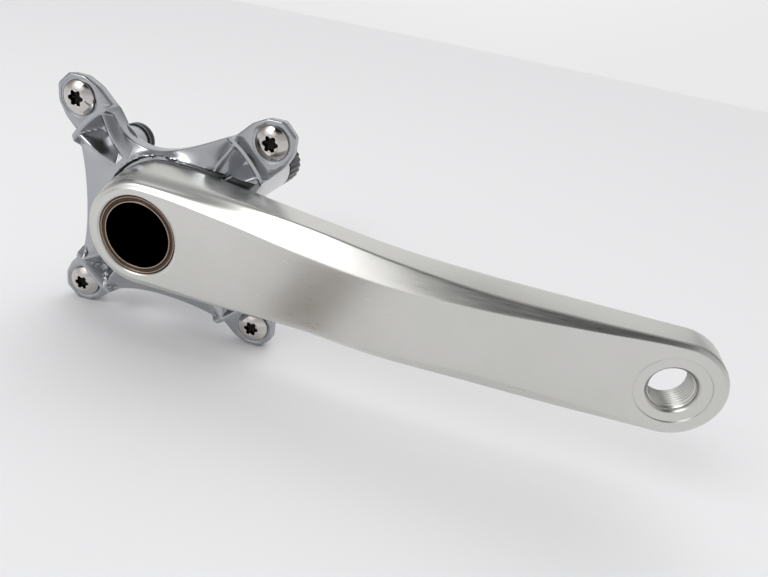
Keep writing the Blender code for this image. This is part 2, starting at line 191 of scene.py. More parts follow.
def turned(name, profile, centre=(0.0, 0.0), segments=96, radius_at=None, sharp_angle=35):
    """Solid turned about an axis along Y from (radius, y) points, closed at radius 0 or on itself."""
    shell = Shell()
    angles = [2 * math.pi * i / segments for i in range(segments)]
    loops = []
    for index, (radius, y) in enumerate(profile):
        if radius == 0.0:
            loops.append([(centre[0], y, centre[1])] * segments)
            continue
        loop = []
        for angle in angles:
            r = radius_at(index, radius, angle) if radius_at else radius
            loop.append((centre[0] + r * math.cos(angle), y, centre[1] + r * math.sin(angle)))
        loops.append(loop)
    if profile[0][0] != 0.0:
        loops.append(loops[0])
    shell.loft(loops)
    return shell.build(name, sharp_angle)


def bevelled(points, cut, steps=4, closed=True):
    """A profile of (radius, y) points with every corner off the axis rounded."""
    rounded = []
    count = len(points)
    for i, corner in enumerate(points):
        if not closed and i in (0, count - 1) or corner[0] == 0.0:
            rounded.append(corner)
            continue
        rounded += round_corner(points[i - 1], corner, points[(i + 1) % count], cut, steps)
    return rounded


def combine(target, tool, operation):
    """Exact Boolean of two pieces. The tool is used up."""
    modifier = target.modifiers.new("combine", "BOOLEAN")
    modifier.operation = operation
    modifier.solver = "EXACT"
    modifier.object = tool
    evaluated = target.evaluated_get(bpy.context.evaluated_depsgraph_get())
    mesh = bpy.data.meshes.new_from_object(evaluated)
    target.modifiers.clear()
    target.data = mesh
    bpy.data.objects.remove(tool, do_unlink=True)


# ---------------------------------------------------------------- crank arm

PATCH_X = (24.0, 160.0)  # the face is a plain grid between these stations


def arm_section(x, side):
    """Points (half-width, y) of the arm's section on one side, from the face's border to the back."""
    pick = 0 if side >= 0 else 1
    face_y = column_value(x, 1)
    edge, shoulder, depth = (column_value(x, column + pick) for column in (2, 4, 6))
    rear, rear_depth = column_value(x, 8), column_value(x, 9)
    near_hub = float(smoothstep(1.0 - x / 55.0))
    swell = 0.95 * near_hub  # the shoulder is a rounded one by the spindle and a flat facet further out
    corner_cut = 0.7 + 2.6 * near_hub
    border, crest = (edge, 0.0), (shoulder, depth)
    rear_corner = (rear, rear_depth + REAR_ROUND)
    inner, back = (edge - 3.0, 0.0), (rear - 2.0 * REAR_ROUND, rear_depth + REAR_ROUND)
    points = round_corner(inner, border, crest, 0.32, 4)
    length = math.hypot(crest[0] - border[0], crest[1] - border[1])
    normal = ((crest[1] - border[1]) / length, -(crest[0] - border[0]) / length)
    start, end = points[-1], round_corner(border, crest, rear_corner, corner_cut, 6)[0]
    for t in (0.2, 0.4, 0.6, 0.8):
        lift = swell * 4 * t * (1 - t)
        points.append((start[0] + (end[0] - start[0]) * t + normal[0] * lift,
                       start[1] + (end[1] - start[1]) * t + normal[1] * lift))
    points += round_corner(border, crest, rear_corner, corner_cut, 6)
    points += round_corner(crest, rear_corner, back, REAR_ROUND, 7)
    return [(width, face_y + y) for width, y in points]


def arm_outline():
    """Stations round the arm's outline: centre x and outward direction, counter-clockwise."""
    arc = 44
    xs = np.unique(np.concatenate([np.linspace(0, 24, 13), np.linspace(24, 160, 61),
                                   np.linspace(160, 180, 11)]))
    stations = [(0.0, math.cos(a), math.sin(a)) for a in np.linspace(math.pi / 2, 1.5 * math.pi, arc + 1)[:-1]]
    stations += [(float(x), 0.0, -1.0) for x in xs[:-1]]
    stations += [(CRANK_LENGTH, math.cos(a), math.sin(a))
                 for a in np.linspace(-math.pi / 2, math.pi / 2, arc + 1)[:-1]]
    stations += [(float(x), 0.0, 1.0) for x in xs[::-1][:-1]]
    return stations


def arm_loops(stations):
    """Closed loops round the arm, one for each point of its section."""
    sections = [arm_section(x, dz if abs(dz) > 1e-9 else 1.0) for x, _, dz in stations]
    loops = []
    for level in range(len(sections[0])):
        loop = []
        for (x, dx, dz), section in zip(stations, sections):
            width, y = section[level]
            loop.append((x + dx * width, y, dz * width))
        loops.append(loop)
    return loops


def end_loop(loop, cut_x, first, rows):
    """The part of a loop on one side of a cut at x, closed by points along the cut."""
    inside = [i for i, p in enumerate(loop) if (p[0] <= cut_x + 1e-6 if first else p[0] >= cut_x - 1e-6)]
    start = next(i for i in inside if (i - 1) % len(loop) not in inside)
    ordered = [loop[(start + k) % len(loop)] for k in range(len(inside))]
    low, high = ordered[-1], ordered[0]
    closing = [tuple(low[axis] + (high[axis] - low[axis]) * k / rows for axis in range(3))
               for k in range(1, rows)]
    return ordered + closing


def face_patches(shell, loop, height, inner_radii, rows=14):
    """Fill a face of the arm: a grid along its middle and a ring patch round each hole."""
    middle = [p for p in loop if PATCH_X[0] - 1e-6 <= p[0] <= PATCH_X[1] + 1e-6]
    lower = sorted((p for p in middle if p[2] < 0), key=lambda p: p[0])
    upper = sorted((p for p in middle if p[2] > 0), key=lambda p: p[0])
    columns = []
    for low, high in zip(lower, upper):
        columns.append([tuple(low[a] + (high[a] - low[a]) * k / rows for a in range(3))
                        for k in range(rows + 1)])
    shell.loft(columns, closed=False)
    rings = []
    for first, cut_x, centre_x, radius in ((True, PATCH_X[0], 0.0, inner_radii[0]),
                                           (False, PATCH_X[1], CRANK_LENGTH, inner_radii[1])):
        outer = end_loop(loop, cut_x, first, rows)
        angles = [math.atan2(p[2], p[0] - centre_x) for p in outer]
        inner = circle_at((centre_x, 0.0), radius, 0.0, angles)
        loops = []
        for step in range(9):
            t = step / 8
            blended = []
            for a, b in zip(outer, inner):
                x, z = a[0] + (b[0] - a[0]) * t, a[2] + (b[2] - a[2]) * t
                blended.append(a if step == 0 else (x, height(x), z))
            loops.append(blended)
        shell.loft(loops)
        rings.append((angles, loops[-1]))
    return rings


def thread_radius(y, angle, minor, major, pitch, start, end, hand=1.0):
    """Radius of a threaded wall that fades out at both ends."""
    phase = ((y - start) / pitch - hand * angle / (2 * math.pi)) % 1.0
    tooth = min(1.0, max(0.0, 1.45 * (1.0 - abs(2.0 * phase - 1.0)) - 0.2))
    fade = min(1.0, max(0.0, (y - start) / pitch)) * min(1.0, max(0.0, (end - y) / pitch))
    return minor + (major - minor) * (1.0 - tooth * fade)


def make_crank_arm():
    shell = Shell()
    stations = arm_outline()
    loops = arm_loops(stations)
    shell.loft(loops)
    mouth = 0.55
    front = face_patches(shell, loops[0], lambda x: column_value(x, 1), (BORE_R + mouth, SEAT_R))

    def back_y(x):
        return column_value(x, 1) + column_value(x, 9) + REAR_ROUND

    back = face_patches(shell, loops[-1], back_y, (BOSS_R + 1.2, MOUTH_R))
    angles, mouth_loop = front[0]
    profile = [(BORE_R + 0.15, -78.5 + mouth - 0.1), (BORE_R, -78.5 + mouth + 0.1), (BORE_R, -64.0),
               (BORE_R, BOSS_END_Y - 0.3), (BORE_R + 0.3, BOSS_END_Y), (BOSS_R - 1.1, BOSS_END_Y),
               (BOSS_R - 0.9, BOSS_END_Y - 0.06), (BOSS_R - 0.1, BOSS_END_Y - 0.9),
               (BOSS_R, BOSS_END_Y - 1.1), (BOSS_R, -57.4), (BOSS_R + 0.25, -58.1)]
    bore = [circle_at((0, 0), r, y, angles) for r, y in profile]
    shell.loft([mouth_loop] + bore + [back[0][1]])
    angles, seat_loop = front[1]
    centre = (CRANK_LENGTH, 0.0)
    face_y = ARM_SECTIONS[-1][1]
    floor_y = face_y + SEAT_DEPTH
    seat = [(SEAT_R - 0.05, face_y + 0.1), (SEAT_R - 0.1, floor_y - 0.05), (SEAT_R - 0.3, floor_y),
            (MOUTH_R + 0.3, floor_y), (MOUTH_R + 0.05, floor_y + 0.05), (MOUTH_R - 0.15, floor_y + 0.2)]
    rings = [circle_at(centre, r, y, angles) for r, y in seat]
    start, end = floor_y + 0.9, face_y + 10.2 + REAR_ROUND - 0.7
    count = int((end - start) / PEDAL_PITCH * 12)
    for step in range(count + 1):
        y = start + (end - start) * step / count
        ring = []
        for angle in angles:
            r = thread_radius(y, angle, PEDAL_MINOR_R, PEDAL_MAJOR_R, PEDAL_PITCH, start, end, hand=-1.0)
            ring.append((centre[0] + r * math.cos(angle), y, centre[1] + r * math.sin(angle)))
        rings.append(ring)
    shell.loft([seat_loop] + rings + [back[1][1]])
    return shell.build("crank_arm_forging", sharp_angle=None)


# ---------------------------------------------------------------- spider


def polar(radial, tangential, angle):
    c, s = math.cos(math.radians(angle)), math.sin(math.radians(angle))
    return (radial * c - tangential * s, radial * s + tangential * c)


# Control points (x, z) of the curved outline after each arm, in millimetres.
WEB_HANDLES = {45.0: ((7.0, 29.0), (-14.0, 14.0)), 135.0: ((-33.0, 13.0), (-33.0, -14.0)),
               225.0: ((-12.0, -30.0), (12.0, -33.0)), 315.0: ((26.0, -12.0), (26.0, 12.0))}
WEB_STEPS = 72
TAB_COLUMNS = 56
TAB_ROOT_ANGLE = 9.5
# The rails' crests: half-width and radius of the pocket at the shoulder and at its apex, then the rim round the hub.
RIDGE_AT_TAB, RIDGE_END_R = 7.2, 43.4
RIDGE_AT_APEX, APEX_R = 2.4, 25.6
HUB_RIM_R = 23.9
POCKET_RISE, HUB_RISE = -1.2, 1.75  # over the tabs' front plane
CORNER_RADIAL = math.sqrt(SHOULDER_R ** 2 - TAB_HALF ** 2)
EDGE_DISTANCES = (0.0, 0.12, 0.3, 0.55, 0.9, 1.35, 1.8, 2.1, 2.6, 3.2, 4.0)


def web_curve(angle):
    """Outline between one spider arm and the next."""
    start, end = polar(CORNER_RADIAL, TAB_HALF, angle), polar(CORNER_RADIAL, -TAB_HALF, angle + 90.0)
    first, second = WEB_HANDLES[angle]
    points = []
    for step in range(WEB_STEPS + 1):
        t = step / WEB_STEPS
        weights = ((1 - t) ** 3, 3 * t * (1 - t) ** 2, 3 * t * t * (1 - t), t ** 3)
        points.append(tuple(sum(w * p[axis] for w, p in zip(weights, (start, first, second, end)))
                            for axis in (0, 1)))
    return points


def ridge_line(angle):
    """Crest of the rail between one spider arm and the next: down one arm, round the hub and up the other."""
    corners = [polar(RIDGE_END_R, RIDGE_AT_TAB, angle), polar(APEX_R, RIDGE_AT_APEX, angle)]
    turns = np.linspace(4.0, 86.0, 24)
    corners += [polar(HUB_RIM_R, 0.0, angle + turn) for turn in turns]
    corners += [polar(APEX_R, -RIDGE_AT_APEX, angle + 90.0), polar(RIDGE_END_R, -RIDGE_AT_TAB, angle + 90.0)]
    return corners


def nearest(points, lines):
    """Distance from each point to the closest of some lines."""
    starts = np.array([p for line in lines for p in line[:-1]])
    steps = np.array([p for line in lines for p in line[1:]]) - starts
    offsets = points[:, None, :] - starts[None, :, :]
    shares = np.clip((offsets * steps).sum(2) / (steps ** 2).sum(1), 0.0, 1.0)
    return np.sqrt(((offsets - shares[:, :, None] * steps) ** 2).sum(2)).min(1)


def soft_max(first, second, width):
    """The larger of two surfaces, blended over a width where they cross."""
    return np.maximum(first, second) + width * np.log1p(np.exp(-np.abs(first - second) / width))


def spider_front(points, edge_distance, ridge_distance):
    """Rise of the front surface over the tabs: concave rails along the edges and a pocket in each arm."""
    x, z = points[:, 0], points[:, 1]
    r = np.hypot(x, z)
    turn = np.degrees(np.arctan2(z, x))
    off_arm = np.radians(turn % 90.0 - 45.0)
    across, along = np.abs(r * np.sin(off_arm)), r * np.cos(off_arm)
    ridge_at = RIDGE_AT_APEX + (RIDGE_AT_TAB - RIDGE_AT_APEX) * (along - APEX_R) / (RIDGE_END_R - APEX_R)
    in_pocket = (along > APEX_R) & (across < ridge_at)
    crest = 4.2 + 0.9 * smoothstep((43.0 - r) / 8.0) - 1.6 * smoothstep((33.0 - r) / 8.0)
    softened = np.sqrt(ridge_distance ** 2 + 0.3) - math.sqrt(0.3)
    share = softened / (softened + edge_distance + 0.05)
    rail = 0.9 + (crest - 0.9) * (1.0 - share) ** 1.7
    pocket = np.maximum(crest - 1.25 * softened, POCKET_RISE)
    rise = np.where(in_pocket, pocket, rail)
    rim = 4.3 - 2.2 * np.maximum(0.0, SHOULDER_R - 1.6 - r)
    rise = soft_max(rise, rim, 0.18)
    arm_half = np.array([column_value(max(0.0, value), 8) for value in x])
    clear = np.where(x > 0, np.abs(z) - arm_half - 0.5, r - HUB_RIM_R + 0.3)
    rise = -soft_max(-rise, -HUB_RISE - 3.5 * np.maximum(0.0, clear), 0.15)
    rounding = 0.45
    return rise - rounding + np.sqrt(np.maximum(0.0, rounding ** 2 - np.maximum(0.0, rounding - edge_distance) ** 2))


def spider_back(x, z, edge_distance):
    """Rise of the back surface behind the tabs' back plane."""
    r = np.hypot(x, z)
    rise = 0.6 * smoothstep((SHOULDER_R - 0.5 - r) / 1.2)
    rise = rise + 1.4 * smoothstep((HUB_R + 0.8 - r) / 1.6)
    rounding = 0.5
    drop = rounding - np.sqrt(np.maximum(0.0, rounding ** 2 - np.maximum(0.0, rounding - edge_distance) ** 2))
    return rise - drop


def spider_columns():
    """Lines of the inner part: outer end, whether that is on a tab's shoulder, on its corner, and start."""
    columns = []
    for angle in ARM_ANGLES:
        for u in np.linspace(-TAB_HALF, TAB_HALF, TAB_COLUMNS + 1):
            columns.append((polar(math.sqrt(SHOULDER_R ** 2 - u * u), u, angle), True, abs(u) > TAB_HALF - 1e-6,
                            polar(HUB_BORE_R, 0.0, angle + u / TAB_HALF * TAB_ROOT_ANGLE)))
        for step, point in list(enumerate(web_curve(angle)))[1:-1]:
            turn = TAB_ROOT_ANGLE + (90.0 - 2.0 * TAB_ROOT_ANGLE) * step / WEB_STEPS
            columns.append((point, False, False, polar(HUB_BORE_R, 0.0, angle + turn)))
    return columns


def make_spider():
    shell = Shell()
    columns = spider_columns()
    ends = np.array([c[0] for c in columns])
    starts = np.array([c[3] for c in columns])
    lengths = np.hypot(*(ends - starts).T)
    reach = EDGE_DISTANCES[-1] * np.minimum(1.0, lengths / 9.0)
    web = [web_curve(angle) for angle in ARM_ANGLES]
    ridges = [ridge_line(angle) for angle in ARM_ANGLES]
    ridges += [[polar(APEX_R, -RIDGE_AT_APEX, angle), polar(APEX_R, RIDGE_AT_APEX, angle)] for angle in ARM_ANGLES]
    at_tab = np.array([c[1] for c in columns])
    tab_edge = np.where([c[2] for c in columns], -0.4, 0.0)
    fronts, backs = [], []
    for store, steps in ((fronts, 64), (backs, 20)):
        levels = [(1.0 - reach / lengths) * step / steps for step in range(steps)]
        levels += [1.0 - reach / lengths * distance / EDGE_DISTANCES[-1] for distance in EDGE_DISTANCES[::-1]]
        for number, shares in enumerate(levels):
            points = starts + (ends - starts) * shares[:, None]
            gaps = nearest(points, web)
            last = number == len(levels) - 1
            if last:
                gaps = np.where(at_tab, gaps, 0.0)
            if store is fronts:
                rise = spider_front(points, gaps, nearest(points, ridges))
            else:
                rise = spider_back(points[:, 0], points[:, 1], gaps)
            if last:
                rise = np.where(at_tab, tab_edge, rise)
            plane, sign = (TAB_FRONT_Y, -1.0) if store is fronts else (TAB_BACK_Y, 1.0)
            store.append([(q[0], plane + sign * h, q[1]) for q, h in zip(points, rise)])
    shell.loft(fronts)
    shell.loft(backs)
    shell.loft([fronts[0], backs[0]])
    rim_front, rim_back = [], []
    for number, angle in enumerate(ARM_ANGLES):
        first = number * (TAB_COLUMNS + WEB_STEPS)
        arc_front = fronts[-1][first:first + TAB_COLUMNS + 1]
        arc_back = backs[-1][first:first + TAB_COLUMNS + 1]
        outline = tab_outline(angle)
        for arc, plane_y, sign, store in ((arc_front, TAB_FRONT_Y, 1.0, rim_front),
                                          (arc_back, TAB_BACK_Y, -1.0, rim_back)):
            edge = [(x, plane_y + sign * 0.4, z) for x, z in outline]
            border = arc[::-1] + edge[1:-1]
            inset = [tab_inset(p, angle, plane_y) for p in border]
            middle = polar(TAB_RING_R, 0.0, angle)
            angles = [math.atan2(p[2] - middle[1], p[0] - middle[0]) for p in inset]
            rings = [border, inset]
            for radius, depth in ((SPOT_R + 0.1, 0.0), (SPOT_R, 0.06), (SPOT_R, SPOT_DEPTH - 0.03),
                                  (SPOT_R - 0.05, SPOT_DEPTH), (TAB_HOLE_R + 0.1, SPOT_DEPTH),
                                  (TAB_HOLE_R, SPOT_DEPTH + 0.1)):
                rings.append(circle_at(middle, radius, plane_y + sign * depth, angles))
            shell.loft(rings)
            hole = rings[-1]
            if sign > 0:
                front_hole = hole
            else:
                shell.loft([front_hole, hole])
            edge_loop = [arc[0]] + edge[1:-1] + [arc[-1]]
            store.append(edge_loop)
        web_front = fronts[-1][first + TAB_COLUMNS:first + TAB_COLUMNS + WEB_STEPS + 1]
        web_back = backs[-1][first + TAB_COLUMNS:first + TAB_COLUMNS + WEB_STEPS + 1]
        if number == len(ARM_ANGLES) - 1:
            web_front, web_back = web_front + [fronts[-1][0]], web_back + [backs[-1][0]]
        rim_front.append(web_front)
        rim_back.append(web_back)
    for front_line, back_line in zip(rim_front, rim_back):
        shell.loft([front_line, back_line], closed=False)
    spider = shell.build("spider_forging", sharp_angle=None)
    for angle in ARM_ANGLES:
        combine(spider, inner_boss(angle), "UNION")
    for angle in ARM_ANGLES:
        hole = turned("hole", [(0, -54), (4.0, -53), (4.0, -44.2), (4.6, -43.4), (4.6, -42), (0, -42)],
                      polar(INNER_RING_R, 0, angle), 64)
        combine(spider, hole, "DIFFERENCE")
    spider.data.shade_smooth()
    spider.data.set_sharp_from_angle(angle=math.radians(52))
    return spider


def tab_outline(angle):
    """Chamfered outline of a tab, from one end of its shoulder round the tip to the other."""
    corners = [(CORNER_RADIAL, -TAB_HALF), (50.5, -9.2), (56.0, -7.4), (60.3, -3.2),
               (60.3, 3.2), (56.0, 7.4), (50.5, 9.2), (CORNER_RADIAL, TAB_HALF)]
    points = [corners[0]]
    for before, corner, after in zip(corners, corners[1:], corners[2:]):
        points += round_corner(before, corner, after, 1.0, 5)
    points.append(corners[-1])
    return [polar(r, t, angle) for r, t in points]


def tab_inset(point, angle, plane_y):
    """Point moved in from a tab's border towards its bolt."""
    middle = polar(TAB_RING_R, 0.0, angle)
    dx, dz = middle[0] - point[0], middle[1] - point[2]
    length = math.hypot(dx, dz)
    return (point[0] + dx / length * 0.45, plane_y, point[2] + dz / length * 0.45)


def inner_boss(angle):
    profile = [(0.0, -53.0), (8.2, -53.0), (7.0, -51.4), (6.2, -50.2), (5.9, -48.5)]
    profile += round_corner((5.9, -48.5), (5.8, -43.5), (0.0, -43.5), 0.35, 4) + [(0.0, -43.5)]
    return turned("boss", profile, polar(INNER_RING_R, 0.0, angle), 64)


# ---------------------------------------------------------------- turned pieces


def make_spindle():
    groove_y = SPINDLE_START + 0.4
    corners = [(DRIVE_BORE_R, SPINDLE_START + 0.5), (DRIVE_BORE_R + 0.1, SPINDLE_START),
               (DRIVE_BORE_R + 0.5, SPINDLE_START), (DRIVE_BORE_R + 0.75, groove_y), (DRIVE_END_R - 0.6, groove_y),
               (DRIVE_END_R - 0.4, SPINDLE_START), (DRIVE_END_R, SPINDLE_START), (DRIVE_END_R, -50.1),
               (SPINDLE_R, -48.1), (SPINDLE_R, SPINDLE_END - SPLINE_LENGTH - 1.2)]
    profile = bevelled(corners, 0.12, closed=False)
    groove_r = SPINDLE_R - SPLINE_DEPTH
    profile += [(groove_r, SPINDLE_END - SPLINE_LENGTH - 0.5), (groove_r, SPINDLE_END - SPLINE_LENGTH)]
    splined_from = len(profile)
    profile += [(groove_r, SPINDLE_END - SPLINE_LENGTH + 0.1), (SPINDLE_R, SPINDLE_END - SPLINE_LENGTH + 0.9),
                (SPINDLE_R, SPINDLE_END - 1.0)]
    splined_to = len(profile)
    profile += [(groove_r, SPINDLE_END - 0.25), (groove_r - 0.4, SPINDLE_END)]
    profile += [(SPINDLE_BORE_R + 0.5, SPINDLE_END), (SPINDLE_BORE_R, SPINDLE_END - 0.5),
                (SPINDLE_BORE_R, -49.0), (DRIVE_BORE_R, -56.0)]

    def radius_at(index, radius, angle):
        if splined_from <= index < splined_to:
            wave = 0.5 + 0.5 * math.cos(SPLINE_TEETH * angle)
            return min(radius, groove_r + (SPINDLE_R - groove_r) * min(1.0, 1.6 * wave))
        return radius

    return turned("spindle_tube", profile, segments=SPLINE_TEETH * 12, radius_at=radius_at, sharp_angle=30)


def lobed_radius(angle, low=2.05, high=2.80):
    wave = 0.5 + 0.5 * math.cos(6.0 * angle)
    return low + (high - low) * smoothstep(wave)


def bolt(name, centre, seat_y, facing, head, shank_length, socket_depth):
    """Bolt with a turned head, a six-lobe socket and a threaded shank.

    head lists (radius, height over the seat) from the socket's mouth to the seat; facing is -1
    for a head that looks outboard and 1 for one that looks inboard.
    """
    shell = Shell()
    segments = 96
    angles = [2 * math.pi * i / segments for i in range(segments)]

    def ring(radius, height):
        return circle_at(centre, radius, seat_y + facing * height, angles)

    def lobes(scale, height):
        return [(centre[0] + lobed_radius(a) * scale * math.cos(a), seat_y + facing * height,
                 centre[1] + lobed_radius(a) * scale * math.sin(a)) for a in angles]

    mouth = head[0][1]
    floor = mouth - socket_depth
    middle = [(centre[0], seat_y + facing * (floor - 0.7), centre[1])] * segments
    loops = [middle, lobes(0.55, floor - 0.35), lobes(0.96, floor), lobes(0.99, floor + 0.1),
             lobes(1.0, mouth - 0.25), lobes(1.03, mouth - 0.1), lobes(1.10, mouth)]
    shell.loft(loops)
    socket_faces = len(shell.faces) - segments
    loops = loops[-1:] + [ring(r, h) for r, h in head]
    loops += [ring(SHANK_R + 0.25, 0.0), ring(SHANK_R, -0.25)]
    steps = int(shank_length / THREAD_PITCH * 8)
    start, end = 0.5, shank_length - 0.3
    for step in range(steps + 1):
        along = start + (end - start) * step / steps
        loop = []
        for a in angles:
            r = thread_radius(along, -facing * a, SHANK_R, SHANK_R - THREAD_DEPTH, THREAD_PITCH, start, end)
            r = SHANK_R + SHANK_R - THREAD_DEPTH - r
            loop.append((centre[0] + r * math.cos(a), seat_y - facing * along, centre[1] + r * math.sin(a)))
        loops.append(loop)
    loops.append(ring(SHANK_R - THREAD_DEPTH - 0.3, -shank_length))
    loops.append([(centre[0], seat_y - facing * shank_length, centre[1])] * segments)
    shell.loft(loops)
    piece = shell.build(name, sharp_angle=40)
    for polygon in piece.data.polygons[:socket_faces]:
        polygon.material_index = 1
    return piece


def dome(radius, height, mouth_radius, rim):
    """Profile of a domed head from the socket's mouth out to its rim and seat."""
    cap = height - rim
    sphere = (radius ** 2 + cap ** 2) / (2.0 * cap)
    points = []
    for step in range(15):
        r = mouth_radius + (radius - 0.2 - mouth_radius) * step / 14
        points.append((r, rim + math.sqrt(sphere ** 2 - r * r) - (sphere - cap)))
    points += [(radius - 0.05, rim - 0.02), (radius, rim - 0.15), (radius, 0.12), (radius - 0.12, 0.0)]
    return points


def make_fasteners(materials):
    pieces = []
    outer_head = dome(6.15, 2.7, 3.2, 0.4)
    inner_head = [(3.3, 3.2), (4.4, 3.2), (4.9, 3.15), (5.9, 2.35),
                  (6.2, 2.0), (6.3, 1.75), (6.3, 0.15), (6.15, 0.0)]
    outer_seat = TAB_FRONT_Y + SPOT_DEPTH - SEAT_GAP
    washer_profile = bevelled([(4.1, -43.2), (6.3, -43.2), (6.3, -42.2), (4.1, -42.2)], 0.15)
    for number, angle in enumerate(ARM_ANGLES, start=1):
        outer, inner = polar(TAB_RING_R, 0, angle), polar(INNER_RING_R, 0, angle)
        pieces.append((bolt(f"ring_bolt_{number}", outer, outer_seat, -1, outer_head, 6.4, 2.0),
                       f"outer_bolt_{number}", "chrome"))
        pieces.append((sleeve_nut(f"sleeve_nut_{number}", outer), f"outer_nut_{number}", "black"))
        washer = turned(f"plain_washer_{number}", washer_profile, inner, 96)
        pieces.append((washer, f"inner_washer_{number}", "washer"))
        pieces.append((bolt(f"inner_ring_bolt_{number}", inner, -41.9, 1, inner_head, 8.2, 2.0),
                       f"inner_bolt_{number}", "black"))
    for piece, node, material in pieces:
        piece.data.materials.append(materials[material])
        if "bolt" in node:
            piece.data.materials.append(materials["socket"])
        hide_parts(node)
        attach(piece, node)


def sleeve_nut(name, centre):
    seat = TAB_BACK_Y - SPOT_DEPTH + SEAT_GAP
    corners = [(4.0, -55.6), (4.9, -55.6), (4.9, seat), (6.9, seat), (6.9, -50.1), (4.0, -50.1)]
    nut = turned(name, bevelled(corners, 0.25), centre, 96)
    shell = Shell()
    reach, half = 8.5, 1.0
    square = [(centre[0] + a * reach, centre[1] + b * half) for a, b in ((-1, -1), (1, -1), (1, 1), (-1, 1))]
    low, high = ([(x, y, z) for x, z in square] for y in (-50.9, -48.5))
    shell.loft([low, high])
    shell.face(low)
    shell.face(high)
    combine(nut, shell.build("slot"), "DIFFERENCE")
    nut.data.shade_smooth()
    nut.data.set_sharp_from_angle(angle=math.radians(35))
    return nut


# ---------------------------------------------------------------- materials


def metal(name, colour, roughness, grain=(1.0, 1.0, 1.0), grain_scale=900.0, bump=0.05, tint=None, spread=0.06):
    """Metal with a directional grain in its roughness and surface, and a soft change of colour."""
    material = bpy.data.materials.new(name)
    material.use_nodes = True
    nodes, links = material.node_tree.nodes, material.node_tree.links
    shader = nodes["Principled BSDF"]
    shader.inputs["Metallic"].default_value = 1.0
    coords = nodes.new("ShaderNodeTexCoord")
    mapping = nodes.new("ShaderNodeMapping")
    mapping.inputs["Scale"].default_value = grain
    links.new(coords.outputs["Object"], mapping.inputs["Vector"])
    fine = nodes.new("ShaderNodeTexNoise")
    fine.inputs["Scale"].default_value = grain_scale
    fine.inputs["Detail"].default_value = 4.0
    links.new(mapping.outputs["Vector"], fine.inputs["Vector"])
    broad = nodes.new("ShaderNodeTexNoise")
    broad.inputs["Scale"].default_value = 35.0
    broad.inputs["Detail"].default_value = 3.0
    links.new(coords.outputs["Object"], broad.inputs["Vector"])
    rough = nodes.new("ShaderNodeMapRange")
    rough.inputs["From Min"].default_value, rough.inputs["From Max"].default_value = 0.3, 0.7
    rough.inputs["To Min"].default_value = roughness - spread
    rough.inputs["To Max"].default_value = roughness + spread
    links.new(fine.outputs["Fac"], rough.inputs["Value"])
    links.new(rough.outputs["Result"], shader.inputs["Roughness"])
    ramp = nodes.new("ShaderNodeValToRGB")
    other = tint or tuple(c * 0.93 for c in colour)
    ramp.color_ramp.elements[0].position, ramp.color_ramp.elements[1].position = 0.35, 0.65
    ramp.color_ramp.elements[0].color = (*other, 1.0)
    ramp.color_ramp.elements[1].color = (*colour, 1.0)
    links.new(broad.outputs["Fac"], ramp.inputs["Fac"])
    links.new(ramp.outputs["Color"], shader.inputs["Base Color"])
    relief = nodes.new("ShaderNodeBump")
    relief.inputs["Strength"].default_value = bump
    relief.inputs["Distance"].default_value = 0.00005
    links.new(fine.outputs["Fac"], relief.inputs["Height"])
    links.new(relief.outputs["Normal"], shader.inputs["Normal"])
    return material


def add_math(nodes, links, operation, first, second=None):
    node = nodes.new("ShaderNodeMath")
    node.operation = operation
    for socket, value in zip(node.inputs, (first, second)):
        if isinstance(value, (int, float)):
            socket.default_value = value
        elif value is not None:
            links.new(value, socket)
    return node.outputs[0]


def spindle_material():
    """Bright steel with a near-black splined end, painted shade in the bore and a brown pressed end with painted
    highlights on its lips and a darker groove.
    """
    material = metal("spindle_steel", (0.66, 0.65, 0.66), 0.24, (1.0, 8.0, 1.0), 700.0, 0.04, spread=0.05)
    nodes, links = material.node_tree.nodes, material.node_tree.links
    shader = nodes["Principled BSDF"]
    steel = shader.inputs["Base Color"].links[0].from_socket
    split = nodes.new("ShaderNodeSeparateXYZ")
    links.new(nodes["Texture Coordinate"].outputs["Object"], split.inputs["Vector"])
    squares = [add_math(nodes, links, "POWER", split.outputs[axis], 2.0) for axis in ("X", "Z")]
    radius = add_math(nodes, links, "SQRT", add_math(nodes, links, "ADD", *squares))
    # Colour rings across the pressed drive end, by radius: near-black painted shade in the bore's mouth, a painted
    # copper highlight on the inner lip, the brown of bonding residue, a darker groove, and a lighter brown painted
    # highlight on the outer lip.
    share = add_math(nodes, links, "MULTIPLY", add_math(nodes, links, "SUBTRACT", radius, 0.011), 1.0 / 0.003)
    rings = nodes.new("ShaderNodeValToRGB")
    links.new(share, rings.inputs["Fac"])
    stops = ((0.20, (0.015, 0.013, 0.011)), (0.26, (0.46, 0.35, 0.28)), (0.40, (0.27, 0.20, 0.16)),
             (0.46, (0.06, 0.045, 0.035)), (0.76, (0.09, 0.065, 0.05)), (0.82, (0.34, 0.26, 0.20)))
    while len(rings.color_ramp.elements) < len(stops):
        rings.color_ramp.elements.new(0.5)
    for element, (position, colour) in zip(rings.color_ramp.elements, stops):
        element.position, element.color = position, (*colour, 1.0)
    colour = steel
    conditions = (
        (add_math(nodes, links, "LESS_THAN", split.outputs["Y"], -0.070), rings.outputs["Color"]),
        # The splined end: near-black, far darker than the rest of the spindle.
        (add_math(nodes, links, "GREATER_THAN", split.outputs["Y"], (SPINDLE_END - SPLINE_LENGTH) * MM),
         (0.018, 0.018, 0.02, 1.0)),
        # Everything inside the bore: near-black painted shade.
        (add_math(nodes, links, "LESS_THAN", radius, 0.01172), (0.006, 0.005, 0.005, 1.0)),
    )
    for condition, other in conditions:
        mix = nodes.new("ShaderNodeMix")
        mix.data_type = "RGBA"
        links.new(condition, mix.inputs["Factor"])
        links.new(colour, mix.inputs[6])
        if isinstance(other, tuple):
            mix.inputs[7].default_value = other
        else:
            links.new(other, mix.inputs[7])
        colour = mix.outputs[2]
    links.new(colour, shader.inputs["Base Color"])
    return material


